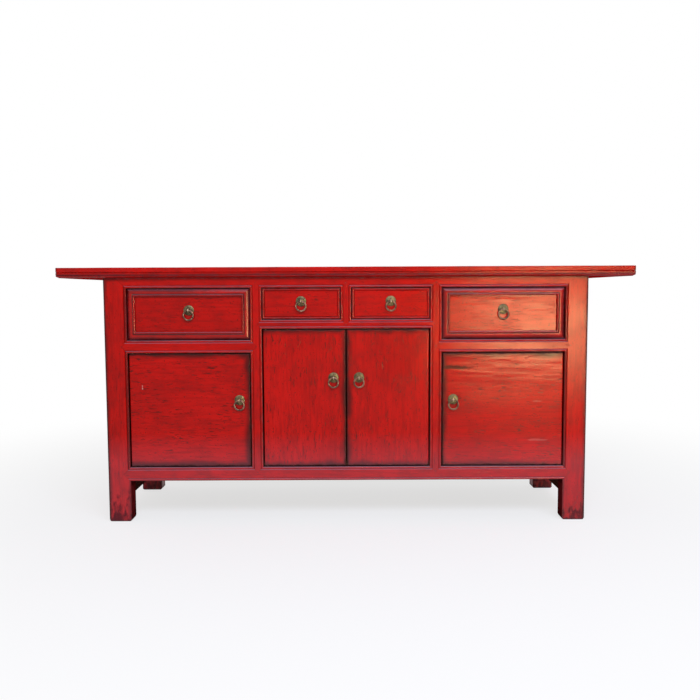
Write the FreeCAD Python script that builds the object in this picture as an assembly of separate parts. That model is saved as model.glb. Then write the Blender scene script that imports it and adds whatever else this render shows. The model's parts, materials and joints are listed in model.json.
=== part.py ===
import FreeCAD, Part
import math
import os

from FreeCAD import Vector

# Long sideboard of red-lacquered wood, built as a post-and-rail frame with loose panels, four drawers
# and four doors on turned pivots, each with a brass ring pull.
# Millimetres, +Z up, the front looks to -Y. The origin is on the floor under the middle of the top board.

# Top board and overall size
TOP_LENGTH = 1900.0
TOP_DEPTH = 500.0
HEIGHT = 855.0
TOP_THICK = 34.0
END_OVERHANG = 147.0
FRONT_OVERHANG = 20.0
REAR_OVERHANG = 10.0
TOP_ARRIS = 2.0
TOP_BAND = 15.0
TOP_GROOVE_DEPTH = 1.5
TOP_GROOVE_HEIGHT = 3.0
TOP_BEAD = 5.0
TOP_LIP = 4.0
TOP_UNDERCUT = 8.0

# Legs and the bars of the front frame
LEG_WIDTH = 75.0
LEG_DEPTH = 57.0
LEG_ARRIS = 5.0
FOOT_CHAMFER = 5.0
BAR_DEPTH = 40.0
FLOOR_CLEARANCE = 140.0
BOTTOM_RAIL_HEIGHT = 45.5
TOP_RAIL_HEIGHT = 34.0
OUTER_RAIL_HEIGHT = 42.0
CENTRE_RAIL_HEIGHT = 30.0
OUTER_DRAWER_HEIGHT = 173.5
CENTRE_DRAWER_HEIGHT = 106.0
STILE_WIDTH = 38.0
DRAWER_STILE_WIDTH = 35.0
CENTRE_OPENING = 560.0
BEAD_WIDTH = 7.5
BEAD_HEIGHT = 1.8
QUIRK_WIDTH = 2.0

# Joints of the frame
SHOULDER_DEPTH = 12.0
TENON_LENGTH = 20.0
TENON_THICK = 12.0
TENON_SETBACK = 15.0
TENON_SHOULDER = 4.0
TOP_TENON_HEIGHT = 18.0
TOP_TENON_WIDTH = 32.0
TOP_TENON_DEPTH = 24.0
GROOVE_DEPTH = 6.0
JOINT_GAP = 0.2

# Sides, back and inside of the carcass
SIDE_RAIL_LOW = 58.0
SIDE_RAIL_HEIGHT = 45.0
SIDE_TOP_RAIL_HEIGHT = 50.0
SIDE_RAIL_THICK = 32.0
SIDE_RAIL_INSET = 6.0
SIDE_PANEL_THICK = 12.0
BACK_BAR_THICK = 28.0
BACK_BAR_INSET = 6.0
BACK_TOP_RAIL_HEIGHT = 50.0
BACK_PANEL_THICK = 8.0
MUNTIN_WIDTH = 50.0
FLOOR_THICK = 14.0
FLOOR_BOARD_WIDTH = 172.0
FLOOR_BOARD_GAP = 0.5
PARTITION_THICK = 12.0
BEARER_WIDTH = 60.0
RUNNER_LEDGE = 22.0
RUNNER_HEIGHT = 28.0
GUIDE_HEIGHT = 25.0
OUTER_GUIDE_WIDTH = 16.0
STUB_TENON = 10.0

# Drawers
DRAWER_GAP = 2.5
DRAWER_SETBACK = 2.0
DRAWER_FRONT_THICK = 18.0
DRAWER_LAP = 6.0
DRAWER_SIDE_THICK = 12.0
DRAWER_LENGTH = 380.0
DRAWER_RIM_DROP = 8.0
DRAWER_FLOOR_THICK = 8.0
DRAWER_FLOOR_RISE = 8.0
DRAWER_GROOVE = 5.0
RUN_CLEARANCE = 0.3
TAIL_PITCH = 46.0
TAIL_WIDTH = 28.0
TAIL_SLOPE = 1 / 6

# Mitred moulding on the large drawers
MOULDING_WIDTH = 25.0
MOULDING_HEIGHT = 9.0
MOULDING_EDGE = 2.5
MOULDING_SLOPE_TOP = 7.5
MOULDING_SWELL = 1.4
MOULDING_BEAD = 7.0
MOULDING_QUIRK = 2.0
MOULDING_QUIRK_DEPTH = 2.2

# Doors
DOOR_THICK = 20.0
DOOR_SETBACK = 4.0
DOOR_GAP = 3.0
HINGE_GAP = 4.0
HINGE_ROUND = 4.0
PIVOT_DIAMETER = 8.0
PIVOT_SHANK = 10.0
PIVOT_SIDES = 12
PIVOT_IN_DOOR = 22.0
PIVOT_IN_RAIL = 13.0
PIVOT_PLAY = 0.05
PIVOT_END_GAP = 0.5
STOP_GAP = 1.0
STOP_HEIGHT = 14.0
STOP_END_GAP = 45.0
BATTEN_WIDTH = 40.0
BATTEN_THICK = 14.0
BATTEN_LET_IN = 6.0
BATTEN_FLARE = 3.0
BATTEN_END_GAP = 40.0
BATTEN_EDGE_GAP = 60.0

# Ring pulls
PLATE_DIAMETER = 35.0
PLATE_RIM = 0.8
PLATE_CROWN = 3.0
PLATE_SHOULDER = 11.0
PLATE_SHOULDER_HEIGHT = 2.3
PLATE_SIDES = 16
RING_DIAMETER = 38.0
RING_WIRE = 5.2
RING_SIDES = 18
RING_PLAY = 0.5
EYE_WIRE = 3.4
EYE_SIDES = 10
WIRE_SIDES = 6
SHANK_WIDTH = 4.4
CLINCH_LENGTH = 34.0
CLINCH_THICK = 1.6
OUTER_DRAWER_PULL_RISE = 13.0
CENTRE_DRAWER_PULL_RISE = 8.0
OUTER_DOOR_PULL_INSET = 36.0
OUTER_DOOR_PULL_RISE = 34.0
CENTRE_DOOR_PULL_INSET = 41.0
CENTRE_DOOR_PULL_RISE = 69.0

# Places that follow from the sizes
front_y = FRONT_OVERHANG - TOP_DEPTH / 2
rear_y = TOP_DEPTH / 2 - REAR_OVERHANG
bar_back = front_y + BAR_DEPTH
front_leg_back = front_y + LEG_DEPTH
rear_leg_front = rear_y - LEG_DEPTH
frame_side = TOP_LENGTH / 2 - END_OVERHANG
leg_inner = frame_side - LEG_WIDTH
stile_inner = CENTRE_OPENING / 2
stile_outer = stile_inner + STILE_WIDTH
stile_mid = stile_inner + STILE_WIDTH / 2
drawer_stile_side = DRAWER_STILE_WIDTH / 2
under_top = HEIGHT - TOP_THICK
bottom_rail_top = FLOOR_CLEARANCE + BOTTOM_RAIL_HEIGHT
top_rail_low = under_top - TOP_RAIL_HEIGHT
outer_rail_top = top_rail_low - OUTER_DRAWER_HEIGHT
outer_rail_low = outer_rail_top - OUTER_RAIL_HEIGHT
centre_rail_top = top_rail_low - CENTRE_DRAWER_HEIGHT
centre_rail_low = centre_rail_top - CENTRE_RAIL_HEIGHT
side_rail_outer = frame_side - SIDE_RAIL_INSET
side_rail_inner = side_rail_outer - SIDE_RAIL_THICK
side_panel_mid = (side_rail_outer + side_rail_inner) / 2
side_panel_inner = side_panel_mid - SIDE_PANEL_THICK / 2
back_bar_rear = rear_y - BACK_BAR_INSET
back_bar_front = back_bar_rear - BACK_BAR_THICK
back_panel_mid = (back_bar_front + back_bar_rear) / 2
back_panel_front = back_panel_mid - BACK_PANEL_THICK / 2
floor_top = bottom_rail_top + FLOOR_THICK
door_face = front_y + DOOR_SETBACK
door_back = door_face + DOOR_THICK
stop_front = door_back + STOP_GAP


def box(x, y, z):
    """Box from three pairs of limits."""
    sizes = [high - low for low, high in (x, y, z)]
    return Part.makeBox(*sizes, Vector(x[0], y[0], z[0]))


def grown(limits, gap):
    """Pair of limits moved apart by gap on each side."""
    return (limits[0] - gap, limits[1] + gap)


def span(middle, width):
    """Pair of limits round a middle."""
    return (middle - width / 2, middle + width / 2)


def block(at, run, across, deep):
    """Box of a bar whose points at(run, across, deep) gives, from three pairs of limits."""
    one = at(run[0], across[0], deep[0])
    two = at(run[1], across[1], deep[1])
    pairs = [tuple(sorted(pair)) for pair in zip(one, two)]
    return box(*pairs)


def swept(face, way):
    """Solid that a face leaves along a straight way."""
    solid = face.extrude(way)
    if solid.Volume < 0:
        solid.reverse()
    return solid


def section(points, bulges, place):
    """Face inside a closed line. A stretch that has a bulge is an arc through it."""
    edges = []
    for number, point in enumerate(points):
        start = place(*point)
        end = place(*points[(number + 1) % len(points)])
        bulge = bulges[number]
        if bulge:
            edges.append(Part.Arc(start, place(*bulge), end).toShape())
        else:
            edges.append(Part.makeLine(start, end))
    return Part.Face(Part.Wire(edges))


def far_side(points, bulges, width):
    """The same corner on the far side of a section of that width, run the other way."""
    far_points = [(width - w, d) for w, d in reversed(points)]
    far_bulges = [bulge and (width - bulge[0], bulge[1]) for bulge in reversed(bulges)]
    return far_points, far_bulges


def corners_round(radius, sides, middle, one, two, turn=0.0):
    """Corners of a regular polygon about a middle. The first lies turn steps from direction one to two."""
    angles = [2 * math.pi * (number + turn) / sides for number in range(sides)]
    return [
        middle + one * (radius * math.cos(angle)) + two * (radius * math.sin(angle)) for angle in angles
    ]


def faceted(loops, endless):
    """Solid with flat faces between loops of as many points. It has caps unless it is endless."""
    count = len(loops[0])
    bands = list(zip(loops, loops[1:]))
    outlines = [] if endless else [loops[0], loops[-1]]
    if endless:
        bands.append((loops[-1], loops[0]))
    for here, there in bands:
        for number in range(count):
            after = (number + 1) % count
            outlines.append([here[number], here[after], there[after], there[number]])
    faces = [Part.Face(Part.makePolygon(outline + outline[:1])) for outline in outlines]
    solid = Part.makeSolid(Part.makeShell(faces))
    if solid.Volume < 0:
        solid.reverse()
    return solid


def wire_ring(mid_radius, wire, sides, middle, one, two):
    """Ring of wire in flat facets, about a middle, with one side square to direction one."""
    loops = []
    for centre in corners_round(mid_radius, sides, middle, one, two, 0.5):
        outwards = (centre - middle).normalize()
        loops.append(corners_round(wire / 2, WIRE_SIDES, centre, outwards, one.cross(two)))
    return faceted(loops, True)


def joined(parts):
    """One piece of wood or metal from parts that meet."""
    return parts[0].multiFuse(parts[1:]).removeSplitter()


def less(shape, cutters):
    """Shape with every cutter taken out."""
    return shape.cut(list(cutters)).removeSplitter()


def moved(shape, x, y, z):
    """Copy of a shape at another place."""
    copy = shape.copy()
    copy.translate(Vector(x, y, z))
    return copy


def mirrored(shape):
    """The same piece on the other half of the cabinet."""
    return shape.mirror(Vector(0, 0, 0), Vector(1, 0, 0))


def across_front(run, across, deep):
    """Point of a bar that lies across the front."""
    return Vector(run, front_y + deep, across)


def up_front(run, across, deep):
    """Point of a bar that stands in the front."""
    return Vector(across, front_y + deep, run)


def corner(kind):
    """Corner of a bar's section from its side to its face: a bead, a worn round or a square edge."""
    if kind == "bead":
        points = [(0, BEAD_HEIGHT), (BEAD_WIDTH, BEAD_HEIGHT), (BEAD_WIDTH + QUIRK_WIDTH, 0)]
        return points, [(BEAD_WIDTH / 2, 0), None]
    if kind == "round":
        waist = LEG_ARRIS * (1 - math.sqrt(0.5))
        return [(0, LEG_ARRIS), (LEG_ARRIS, 0)], [(waist, waist)]
    return [(0, 0)], []


def bar_section(width, depth, low_edge, high_edge, place):
    """Section of a front bar. place(w, d) is w across the bar and d behind its face."""
    points, bulges = corner(low_edge)
    far_points, far_bulges = far_side(*corner(high_edge), width)
    points = points + far_points + [(width, depth), (0, depth)]
    bulges = bulges + [None] + far_bulges + [None, None, None]
    return section(points, bulges, place)


def frame_bar(at, ends, sides, edges):
    """Bar of the front frame with a pointed, mitred shoulder and a tenon at each end.

    Returns the bar and the socket that each end needs in the bar or leg that takes it.
    """
    start, stop = ends
    low, high = sides
    tip = high if edges[1] == "square" else (low + high) / 2
    reach = tip - low
    face = bar_section(high - low, BAR_DEPTH, *edges, lambda w, d: at(start - reach, low + w, d))
    blank = swept(face, at(stop + reach, 0, 0) - at(start - reach, 0, 0))
    parts = [blank.common(block(at, ends, sides, (0, BAR_DEPTH)))]
    sockets = []
    across = grown(sides, -TENON_SHOULDER)
    deep = (TENON_SETBACK, TENON_SETBACK + TENON_THICK)
    for shoulder, way in ((start, -1), (stop, 1)):
        corners = [(shoulder, low), (shoulder + way * reach, tip), (shoulder, high)]
        outline = section(corners, [None] * 3, lambda run, w: at(run, w, 0))
        point = swept(outline, at(0, 0, SHOULDER_DEPTH) - at(0, 0, 0))
        end = shoulder + way * TENON_LENGTH
        tenon = block(at, (shoulder, end), across, deep)
        room = (shoulder, end + way * JOINT_GAP)
        mortise = block(at, room, grown(across, JOINT_GAP), grown(deep, JOINT_GAP))
        parts += [blank.common(point), tenon]
        sockets.append(point.fuse(mortise))
    return joined(parts), sockets


def plain_bar(limits, run, thin, length):
    """Square bar with a tenon on each end, and its two mortises.

    limits are three pairs, run is the axis along the bar and thin the axis across its tenon.
    """
    bar = box(*limits)
    tenons = []
    mortises = []
    wide = ({0, 1, 2} - {run, thin}).pop()
    for end, way in zip(limits[run], (-1, 1)):
        tenon = [None, None, None]
        tenon[run] = tuple(sorted((end, end + way * length)))
        tenon[thin] = span(sum(limits[thin]) / 2, TENON_THICK)
        tenon[wide] = grown(limits[wide], -TENON_SHOULDER)
        tenons.append(box(*tenon))
        mortises.append(box(*(grown(pair, JOINT_GAP) for pair in tenon)))
    return joined([bar] + tenons), mortises


def mitred_frame(limits, face, points, bulges):
    """Four lengths of a moulding, mitred round a rectangle on the plane y = face.

    points are (w, h): w in from the rectangle's edge and h out from the plane.
    """
    left, right, low, high = limits
    inner = max(w for w, h in points)
    outer = min(w for w, h in points)
    reach = 2 * max(abs(h) for w, h in points + [bulge for bulge in bulges if bulge])

    def length(place, run, trapezium):
        bar = swept(section(points, bulges, place), run)
        outline = [Vector(x, face - reach, z) for x, z in trapezium]
        limit = swept(Part.Face(Part.makePolygon(outline + outline[:1])), Vector(0, 2 * reach, 0))
        return bar.common(limit)

    corners = {
        side: [(left + w, low + w), (right - w, low + w), (right - w, high - w), (left + w, high - w)]
        for side, w in (("outer", outer), ("inner", inner))
    }
    starts = (
        lambda w, h: Vector(left + outer, face - h, low + w),
        lambda w, h: Vector(right - w, face - h, low + outer),
        lambda w, h: Vector(right - outer, face - h, high - w),
        lambda w, h: Vector(left + w, face - h, high - outer),
    )
    lengths = []
    for number, place in enumerate(starts):
        after = (number + 1) % 4
        begin = Vector(corners["outer"][number][0], 0, corners["outer"][number][1])
        end = Vector(corners["outer"][after][0], 0, corners["outer"][after][1])
        trapezium = [corners["outer"][number], corners["outer"][after]]
        trapezium += [corners["inner"][after], corners["inner"][number]]
        lengths.append(length(place, end - begin, trapezium))
    return lengths


def top_board():
    """Thick plank top: flat bands, a groove and a bead on its front and ends, plain behind."""
    groove_top = TOP_THICK - TOP_BAND
    groove_mid = groove_top - TOP_GROOVE_HEIGHT / 2
    bead_top = TOP_LIP + TOP_BEAD
    waist = TOP_ARRIS * (1 - math.sqrt(0.5))
    points = [
        (TOP_UNDERCUT, 0),
        (TOP_GROOVE_DEPTH, TOP_LIP),
        (TOP_GROOVE_DEPTH, bead_top),
        (0, bead_top),
        (0, groove_top - TOP_GROOVE_HEIGHT),
        (TOP_GROOVE_DEPTH, groove_mid),
        (0, groove_top),
        (0, TOP_THICK - TOP_ARRIS),
        (TOP_ARRIS, TOP_THICK),
    ]
    bulges = [None] * 8
    bulges[1] = (0, TOP_LIP + TOP_BEAD / 2)
    bulges[7] = (waist, TOP_THICK - waist)
    far_points, far_bulges = far_side(points, bulges, TOP_LENGTH)
    lengthways = section(
        points + far_points,
        bulges + [None] + far_bulges + [None],
        lambda w, h: Vector(w - TOP_LENGTH / 2, -TOP_DEPTH / 2, under_top + h),
    )
    endways = section(
        points + [(TOP_DEPTH, TOP_THICK), (TOP_DEPTH, 0)],
        bulges + [None, None, None],
        lambda w, h: Vector(-TOP_LENGTH / 2, w - TOP_DEPTH / 2, under_top + h),
    )
    long_edges = swept(endways, Vector(TOP_LENGTH, 0, 0))
    ends = swept(lengthways, Vector(0, TOP_DEPTH, 0))
    return long_edges.common(ends)


def leg_blank(y, top):
    """Square length of a left leg from the floor, with its bottom edges taken off."""
    blank = box((-frame_side, -leg_inner), y, (0, top))
    bottom = [edge for edge in blank.Edges if edge.BoundBox.ZMax < FOOT_CHAMFER]
    return blank.makeChamfer(FOOT_CHAMFER, bottom)


def top_tenon(depth_mid, gap):
    """Tenon on top of a left leg, let up into the top board."""
    x = grown(span(-frame_side + LEG_WIDTH / 2, TOP_TENON_WIDTH), gap)
    y = grown(span(depth_mid, TOP_TENON_DEPTH), gap)
    return box(x, y, (under_top, under_top + TOP_TENON_HEIGHT + gap))


def front_leg():
    """Left front leg: a worn outer arris, and a bead along the openings, above the bottom rail."""
    bead_from = FLOOR_CLEARANCE + BOTTOM_RAIL_HEIGHT / 2

    def length(inner_edge, low, high):
        face = bar_section(
            LEG_WIDTH, LEG_DEPTH, "round", inner_edge, lambda w, d: up_front(low, w - frame_side, d)
        )
        return swept(face, Vector(0, 0, high - low))

    lower = length("square", 0, bead_from).common(leg_blank((front_y, front_leg_back), bead_from))
    upper = length("bead", bead_from, under_top)
    return joined([lower, upper, top_tenon(front_y + LEG_DEPTH / 2, 0)])


def rear_leg():
    """Left rear leg."""
    leg = leg_blank((rear_leg_front, rear_y), under_top)
    return joined([leg, top_tenon(rear_y - LEG_DEPTH / 2, 0)])


def dovetails(x, root, tip, z):
    """Dovetails on the end of a drawer side, from their root to their tip along Y."""
    count = max(1, int((z[1] - z[0]) // TAIL_PITCH))
    pitch = (z[1] - z[0]) / count
    narrow = TAIL_WIDTH / 2 - abs(tip - root) * TAIL_SLOPE
    tails = []
    for number in range(count):
        middle = z[0] + pitch * (number + 0.5)
        corners = [
            Vector(x[0], root, middle - narrow),
            Vector(x[0], tip, middle - TAIL_WIDTH / 2),
            Vector(x[0], tip, middle + TAIL_WIDTH / 2),
            Vector(x[0], root, middle + narrow),
        ]
        face = Part.Face(Part.makePolygon(corners + corners[:1]))
        tails.append(swept(face, Vector(x[1] - x[0], 0, 0)))
    return tails


def moulding_lengths(limits, face):
    """Mitred moulding of a large drawer: a rounded outer slope, a quirk and a bead inside."""
    bead_from = MOULDING_WIDTH - MOULDING_BEAD
    slope_to = bead_from - MOULDING_QUIRK
    quirk = MOULDING_HEIGHT - MOULDING_QUIRK_DEPTH
    slope_mid = (MOULDING_EDGE + MOULDING_SLOPE_TOP) / 2 + MOULDING_SWELL
    points = [
        (0, 0),
        (0, MOULDING_EDGE),
        (slope_to, MOULDING_SLOPE_TOP),
        (bead_from, quirk),
        (MOULDING_WIDTH, quirk),
        (MOULDING_WIDTH, 0),
    ]
    bulges = [None] * 6
    bulges[1] = (slope_to / 2, slope_mid)
    bulges[3] = (bead_from + MOULDING_BEAD / 2, MOULDING_HEIGHT)
    return mitred_frame(limits, face, points, bulges)


def beaded_board(limits, face, back):
    """Front board of a small drawer: a bead round its edge, a quirk and a raised field."""
    left, right, low, high = limits
    bed = face + BEAD_HEIGHT
    beads = mitred_frame(
        limits, bed, [(0, 0), (BEAD_WIDTH, 0)], [(BEAD_WIDTH / 2, BEAD_HEIGHT), None]
    )

    def rim(inset, y):
        x = grown((left, right), -inset)
        z = grown((low, high), -inset)
        return [Vector(x[0], y, z[0]), Vector(x[1], y, z[0]), Vector(x[1], y, z[1]), Vector(x[0], y, z[1])]

    field = faceted([rim(BEAD_WIDTH, bed), rim(BEAD_WIDTH + QUIRK_WIDTH, face)], False)
    board = box((left, right), (bed, back), (low, high))
    return joined([board, field] + beads)


def pull(board_thick):
    """Ring pull at the origin, its board's face on y = 0: plate, staple, ring and the staple's hole."""
    ring_tube = RING_WIRE / 2
    eye_tube = EYE_WIRE / 2
    eye_mid = ring_tube + RING_PLAY + eye_tube
    eye_out = PLATE_CROWN + eye_mid + eye_tube
    shank = span(0, SHANK_WIDTH)
    hole = grown(shank, JOINT_GAP)
    outwards = Vector(0, -1, 0)
    along = Vector(1, 0, 0)
    up = Vector(0, 0, 1)
    dome = [
        corners_round(radius, PLATE_SIDES, outwards * height, along, up)
        for radius, height in (
            (PLATE_DIAMETER / 2, 0),
            (PLATE_DIAMETER / 2, PLATE_RIM),
            (PLATE_SHOULDER, PLATE_SHOULDER_HEIGHT),
            (SHANK_WIDTH, PLATE_CROWN),
        )
    ]
    plate = less(faceted(dome, False), [box(hole, (-PLATE_CROWN, 0), hole)])
    eye_centre = outwards * eye_out
    eye_sides = [
        corners_round(eye_mid + eye_tube, EYE_SIDES, eye_centre + along * x, outwards, up)
        for x in span(0, EYE_WIRE)
    ]
    eye_hole = Part.makeCylinder(
        ring_tube + RING_PLAY, EYE_WIRE, eye_centre - along * eye_tube, along
    )
    eye = less(faceted(eye_sides, False), [eye_hole])
    clinch_end = board_thick + CLINCH_THICK
    stem = box(shank, (eye_mid - eye_out, clinch_end), shank)
    clinch = box(shank, (board_thick, clinch_end), span(0, CLINCH_LENGTH))
    ring_mid = RING_DIAMETER / 2 - ring_tube
    drop = ring_mid * math.cos(math.pi / RING_SIDES)
    ring = wire_ring(ring_mid, RING_WIRE, RING_SIDES, eye_centre - up * drop, up, along)
    return {
        "plate": Part.makeCompound([plate, joined([eye, stem, clinch])]),
        "ring": ring,
        "hole": box(hole, (0, board_thick), hole),
    }


def drawer(opening, moulded, pull_rise):
    """Dovetailed drawer of an opening (left, right, low, high), with its pull and any moulding."""
    left, right = grown(opening[:2], -DRAWER_GAP)
    low, high = grown(opening[2:], -DRAWER_GAP)
    face = front_y + DRAWER_SETBACK + (MOULDING_HEIGHT if moulded else 0)
    front_back = face + DRAWER_FRONT_THICK
    end = face + DRAWER_LENGTH
    back_from = end - DRAWER_SIDE_THICK
    foot = opening[2] + RUN_CLEARANCE
    rim = opening[3] - DRAWER_RIM_DROP
    floor_low = foot + DRAWER_FLOOR_RISE
    floor_high = floor_low + DRAWER_FLOOR_THICK
    inside = grown((left, right), -DRAWER_SIDE_THICK)
    floor_x = grown(inside, DRAWER_GROOVE)
    floor_y = (front_back - DRAWER_GROOVE, end)
    floor = box(floor_x, floor_y, (floor_low, floor_high))
    groove = box(
        grown(floor_x, JOINT_GAP), grown(floor_y, JOINT_GAP), grown((floor_low, floor_high), JOINT_GAP)
    )
    sides = []
    sockets = []
    for x in ((left, inside[0]), (inside[1], right)):
        front_tip = face + DRAWER_LAP
        tails = dovetails(x, front_back, front_tip, (floor_high, rim))
        tails += dovetails(x, back_from, end, (floor_high, rim))
        side = joined([box(x, (front_back, back_from), (foot, rim))] + tails)
        sides.append(less(side, [groove]))
        sockets += tails
    back = less(box((left, right), (back_from, end), (floor_high, rim)), sockets)
    middle = sum(opening[:2]) / 2
    height = sum(opening[2:]) / 2 + pull_rise
    fitting = {kind: moved(shape, middle, face, height) for kind, shape in pull(DRAWER_FRONT_THICK).items()}
    pieces = {"box": Part.makeCompound(sides + [back, floor])}
    limits = (left, right, low, high)
    if moulded:
        board = box((left, right), (face, front_back), (low, high))
        pieces["moulding"] = Part.makeCompound(moulding_lengths(limits, face))
    else:
        board = beaded_board(limits, face, front_back)
    pieces["front"] = less(board, sockets + [groove, fitting["hole"]])
    return pieces, fitting


def batten(at, run, middle):
    """Batten dovetailed into the back of a door, and the part of it that is let in."""
    low, high = span(middle, BATTEN_WIDTH)
    behind = DOOR_SETBACK + DOOR_THICK
    neck = [(low + BATTEN_FLARE, behind), (low, behind - BATTEN_LET_IN)]
    neck += [(high, behind - BATTEN_LET_IN), (high - BATTEN_FLARE, behind)]
    face = section(neck, [None] * 4, lambda w, d: at(run[0], w, d))
    let_in = swept(face, at(run[1], 0, 0) - at(run[0], 0, 0))
    proud = block(at, run, (low, high), (behind, behind + BATTEN_THICK))
    return joined([let_in, proud]), let_in


def door(hinge, free, opening_z, battens_upright, pull_inset, pull_rise):
    """Slab door hung at its left edge on two pivots, with battens behind and a pull.

    Also returns the sockets that the rails below and above need.
    """
    low, high = grown(opening_z, -DOOR_GAP)
    half = DOOR_THICK / 2
    axis_x = hinge + half
    axis_y = door_face + half
    front_waist = HINGE_ROUND * (1 - math.sqrt(0.5))
    back_waist = half * math.sqrt(0.5)
    plan = section(
        [
            (hinge + HINGE_ROUND, door_face),
            (free, door_face),
            (free, door_back),
            (axis_x, door_back),
            (hinge, axis_y),
            (hinge, door_face + HINGE_ROUND),
        ],
        [
            None,
            None,
            None,
            (axis_x - back_waist, axis_y + back_waist),
            None,
            (hinge + front_waist, door_face + front_waist),
        ],
        lambda x, y: Vector(x, y, low),
    )
    slab = swept(plan, Vector(0, 0, high - low))
    pivots = []
    mortises = []
    sockets = []
    shank_x = span(axis_x, PIVOT_SHANK)
    shank_y = span(axis_y, PIVOT_SHANK)
    pin_radius = PIVOT_DIAMETER / 2
    socket_radius = (pin_radius + PIVOT_PLAY) / math.cos(math.pi / PIVOT_SIDES)

    def round_bar(radius, z_from, z_to):
        loops = [
            corners_round(radius, PIVOT_SIDES, Vector(axis_x, axis_y, z), Vector(1, 0, 0), Vector(0, 1, 0))
            for z in (z_from, z_to)
        ]
        return faceted(loops, False)

    for edge, way in ((low, -1), (high, 1)):
        shank = box(shank_x, shank_y, tuple(sorted((edge, edge - way * PIVOT_IN_DOOR))))
        rail = edge + way * DOOR_GAP
        pin = round_bar(pin_radius, edge, rail + way * PIVOT_IN_RAIL)
        pivots.append(joined([shank, pin]))
        mortises.append(shank)
        sockets.append(round_bar(socket_radius, rail, rail + way * (PIVOT_IN_RAIL + PIVOT_END_GAP)))
    if battens_upright:
        run = grown((low, high), -BATTEN_END_GAP)
        middles = grown((hinge, free), -BATTEN_EDGE_GAP - BATTEN_WIDTH / 2)
        made = [batten(up_front, run, middle) for middle in middles]
    else:
        run = grown((hinge, free), -BATTEN_END_GAP)
        middles = grown((low, high), -BATTEN_EDGE_GAP - BATTEN_WIDTH / 2)
        made = [batten(across_front, run, middle) for middle in middles]
    place = (free - pull_inset, door_face, sum(opening_z) / 2 + pull_rise)
    fitting = {kind: moved(shape, *place) for kind, shape in pull(DOOR_THICK).items()}
    slab = less(slab, mortises + [let_in for whole, let_in in made] + [fitting["hole"]])
    pieces = {
        "panel": slab,
        "battens": Part.makeCompound([whole for whole, let_in in made]),
        "pivots": Part.makeCompound(pivots),
    }
    return pieces, fitting, sockets


# Front frame: rails, stiles and the pointed joints between them
bead_both = ("bead", "bead")
top_rail, top_rail_sockets = frame_bar(
    across_front, (-leg_inner, leg_inner), (top_rail_low, under_top), ("bead", "square")
)
bottom_rail, bottom_rail_sockets = frame_bar(
    across_front, (-leg_inner, leg_inner), (FLOOR_CLEARANCE, bottom_rail_top), bead_both
)
stile, stile_sockets = frame_bar(
    up_front, (bottom_rail_top, top_rail_low), (-stile_outer, -stile_inner), bead_both
)
drawer_stile, drawer_stile_sockets = frame_bar(
    up_front, (centre_rail_top, top_rail_low), (-drawer_stile_side, drawer_stile_side), bead_both
)
outer_rail, outer_rail_sockets = frame_bar(
    across_front, (-leg_inner, -stile_outer), (outer_rail_low, outer_rail_top), bead_both
)
centre_rail, centre_rail_sockets = frame_bar(
    across_front, (-stile_inner, stile_inner), (centre_rail_low, centre_rail_top), bead_both
)

# Drawers and doors of the left half
outer_drawer, outer_drawer_pull = drawer(
    (-leg_inner, -stile_outer, outer_rail_top, top_rail_low), True, OUTER_DRAWER_PULL_RISE
)
centre_drawer, centre_drawer_pull = drawer(
    (-stile_inner, -drawer_stile_side, centre_rail_top, top_rail_low), False, CENTRE_DRAWER_PULL_RISE
)
outer_door, outer_door_pull, outer_door_sockets = door(
    -leg_inner + HINGE_GAP,
    -stile_outer - DOOR_GAP,
    (bottom_rail_top, outer_rail_low),
    True,
    OUTER_DOOR_PULL_INSET,
    OUTER_DOOR_PULL_RISE,
)
centre_door, centre_door_pull, centre_door_sockets = door(
    -stile_inner + HINGE_GAP,
    -DOOR_GAP / 2,
    (bottom_rail_top, centre_rail_low),
    False,
    CENTRE_DOOR_PULL_INSET,
    CENTRE_DOOR_PULL_RISE,
)

# Sides of the carcass
side_x = (-side_rail_outer, -side_rail_inner)
side_y = (front_leg_back, rear_leg_front)
side_low_z = (SIDE_RAIL_LOW, SIDE_RAIL_LOW + SIDE_RAIL_HEIGHT)
side_top_z = (under_top - SIDE_TOP_RAIL_HEIGHT, under_top)
side_low, side_low_mortises = plain_bar((side_x, side_y, side_low_z), 1, 0, TENON_LENGTH)
side_top, side_top_mortises = plain_bar((side_x, side_y, side_top_z), 1, 0, TENON_LENGTH)
panel_x = span(-side_panel_mid, SIDE_PANEL_THICK)
panel_y = grown(side_y, GROOVE_DEPTH)
panel_z = grown((side_low_z[1], side_top_z[0]), GROOVE_DEPTH)
side_panel = box(panel_x, panel_y, panel_z)
side_groove = box(*(grown(pair, JOINT_GAP) for pair in (panel_x, panel_y, panel_z)))
side_rails = [less(rail, [side_groove]) for rail in (side_low, side_top)]

# Back of the carcass: rails, muntins and the cross rails that carry the runners
back_y = (back_bar_front, back_bar_rear)
back_x = (-leg_inner, leg_inner)
back_low_z = (FLOOR_CLEARANCE, bottom_rail_top)
back_top_z = (under_top - BACK_TOP_RAIL_HEIGHT, under_top)
muntin_x = span(-stile_mid, MUNTIN_WIDTH)
outer_cross_z = (outer_rail_low, outer_rail_top)
centre_cross_z = (centre_rail_low, centre_rail_top)
back_low, back_low_mortises = plain_bar((back_x, back_y, back_low_z), 0, 1, TENON_LENGTH)
back_top, back_top_mortises = plain_bar((back_x, back_y, back_top_z), 0, 1, TENON_LENGTH)
muntin, muntin_mortises = plain_bar(
    (muntin_x, back_y, (back_low_z[1], back_top_z[0])), 2, 1, TENON_LENGTH
)
outer_cross, outer_cross_mortises = plain_bar(
    ((-leg_inner, muntin_x[0]), back_y, outer_cross_z), 0, 1, TENON_LENGTH
)
centre_cross, centre_cross_mortises = plain_bar(
    ((muntin_x[1], -muntin_x[1]), back_y, centre_cross_z), 0, 1, TENON_LENGTH
)
back_panel_y = span(back_panel_mid, BACK_PANEL_THICK)
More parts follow.
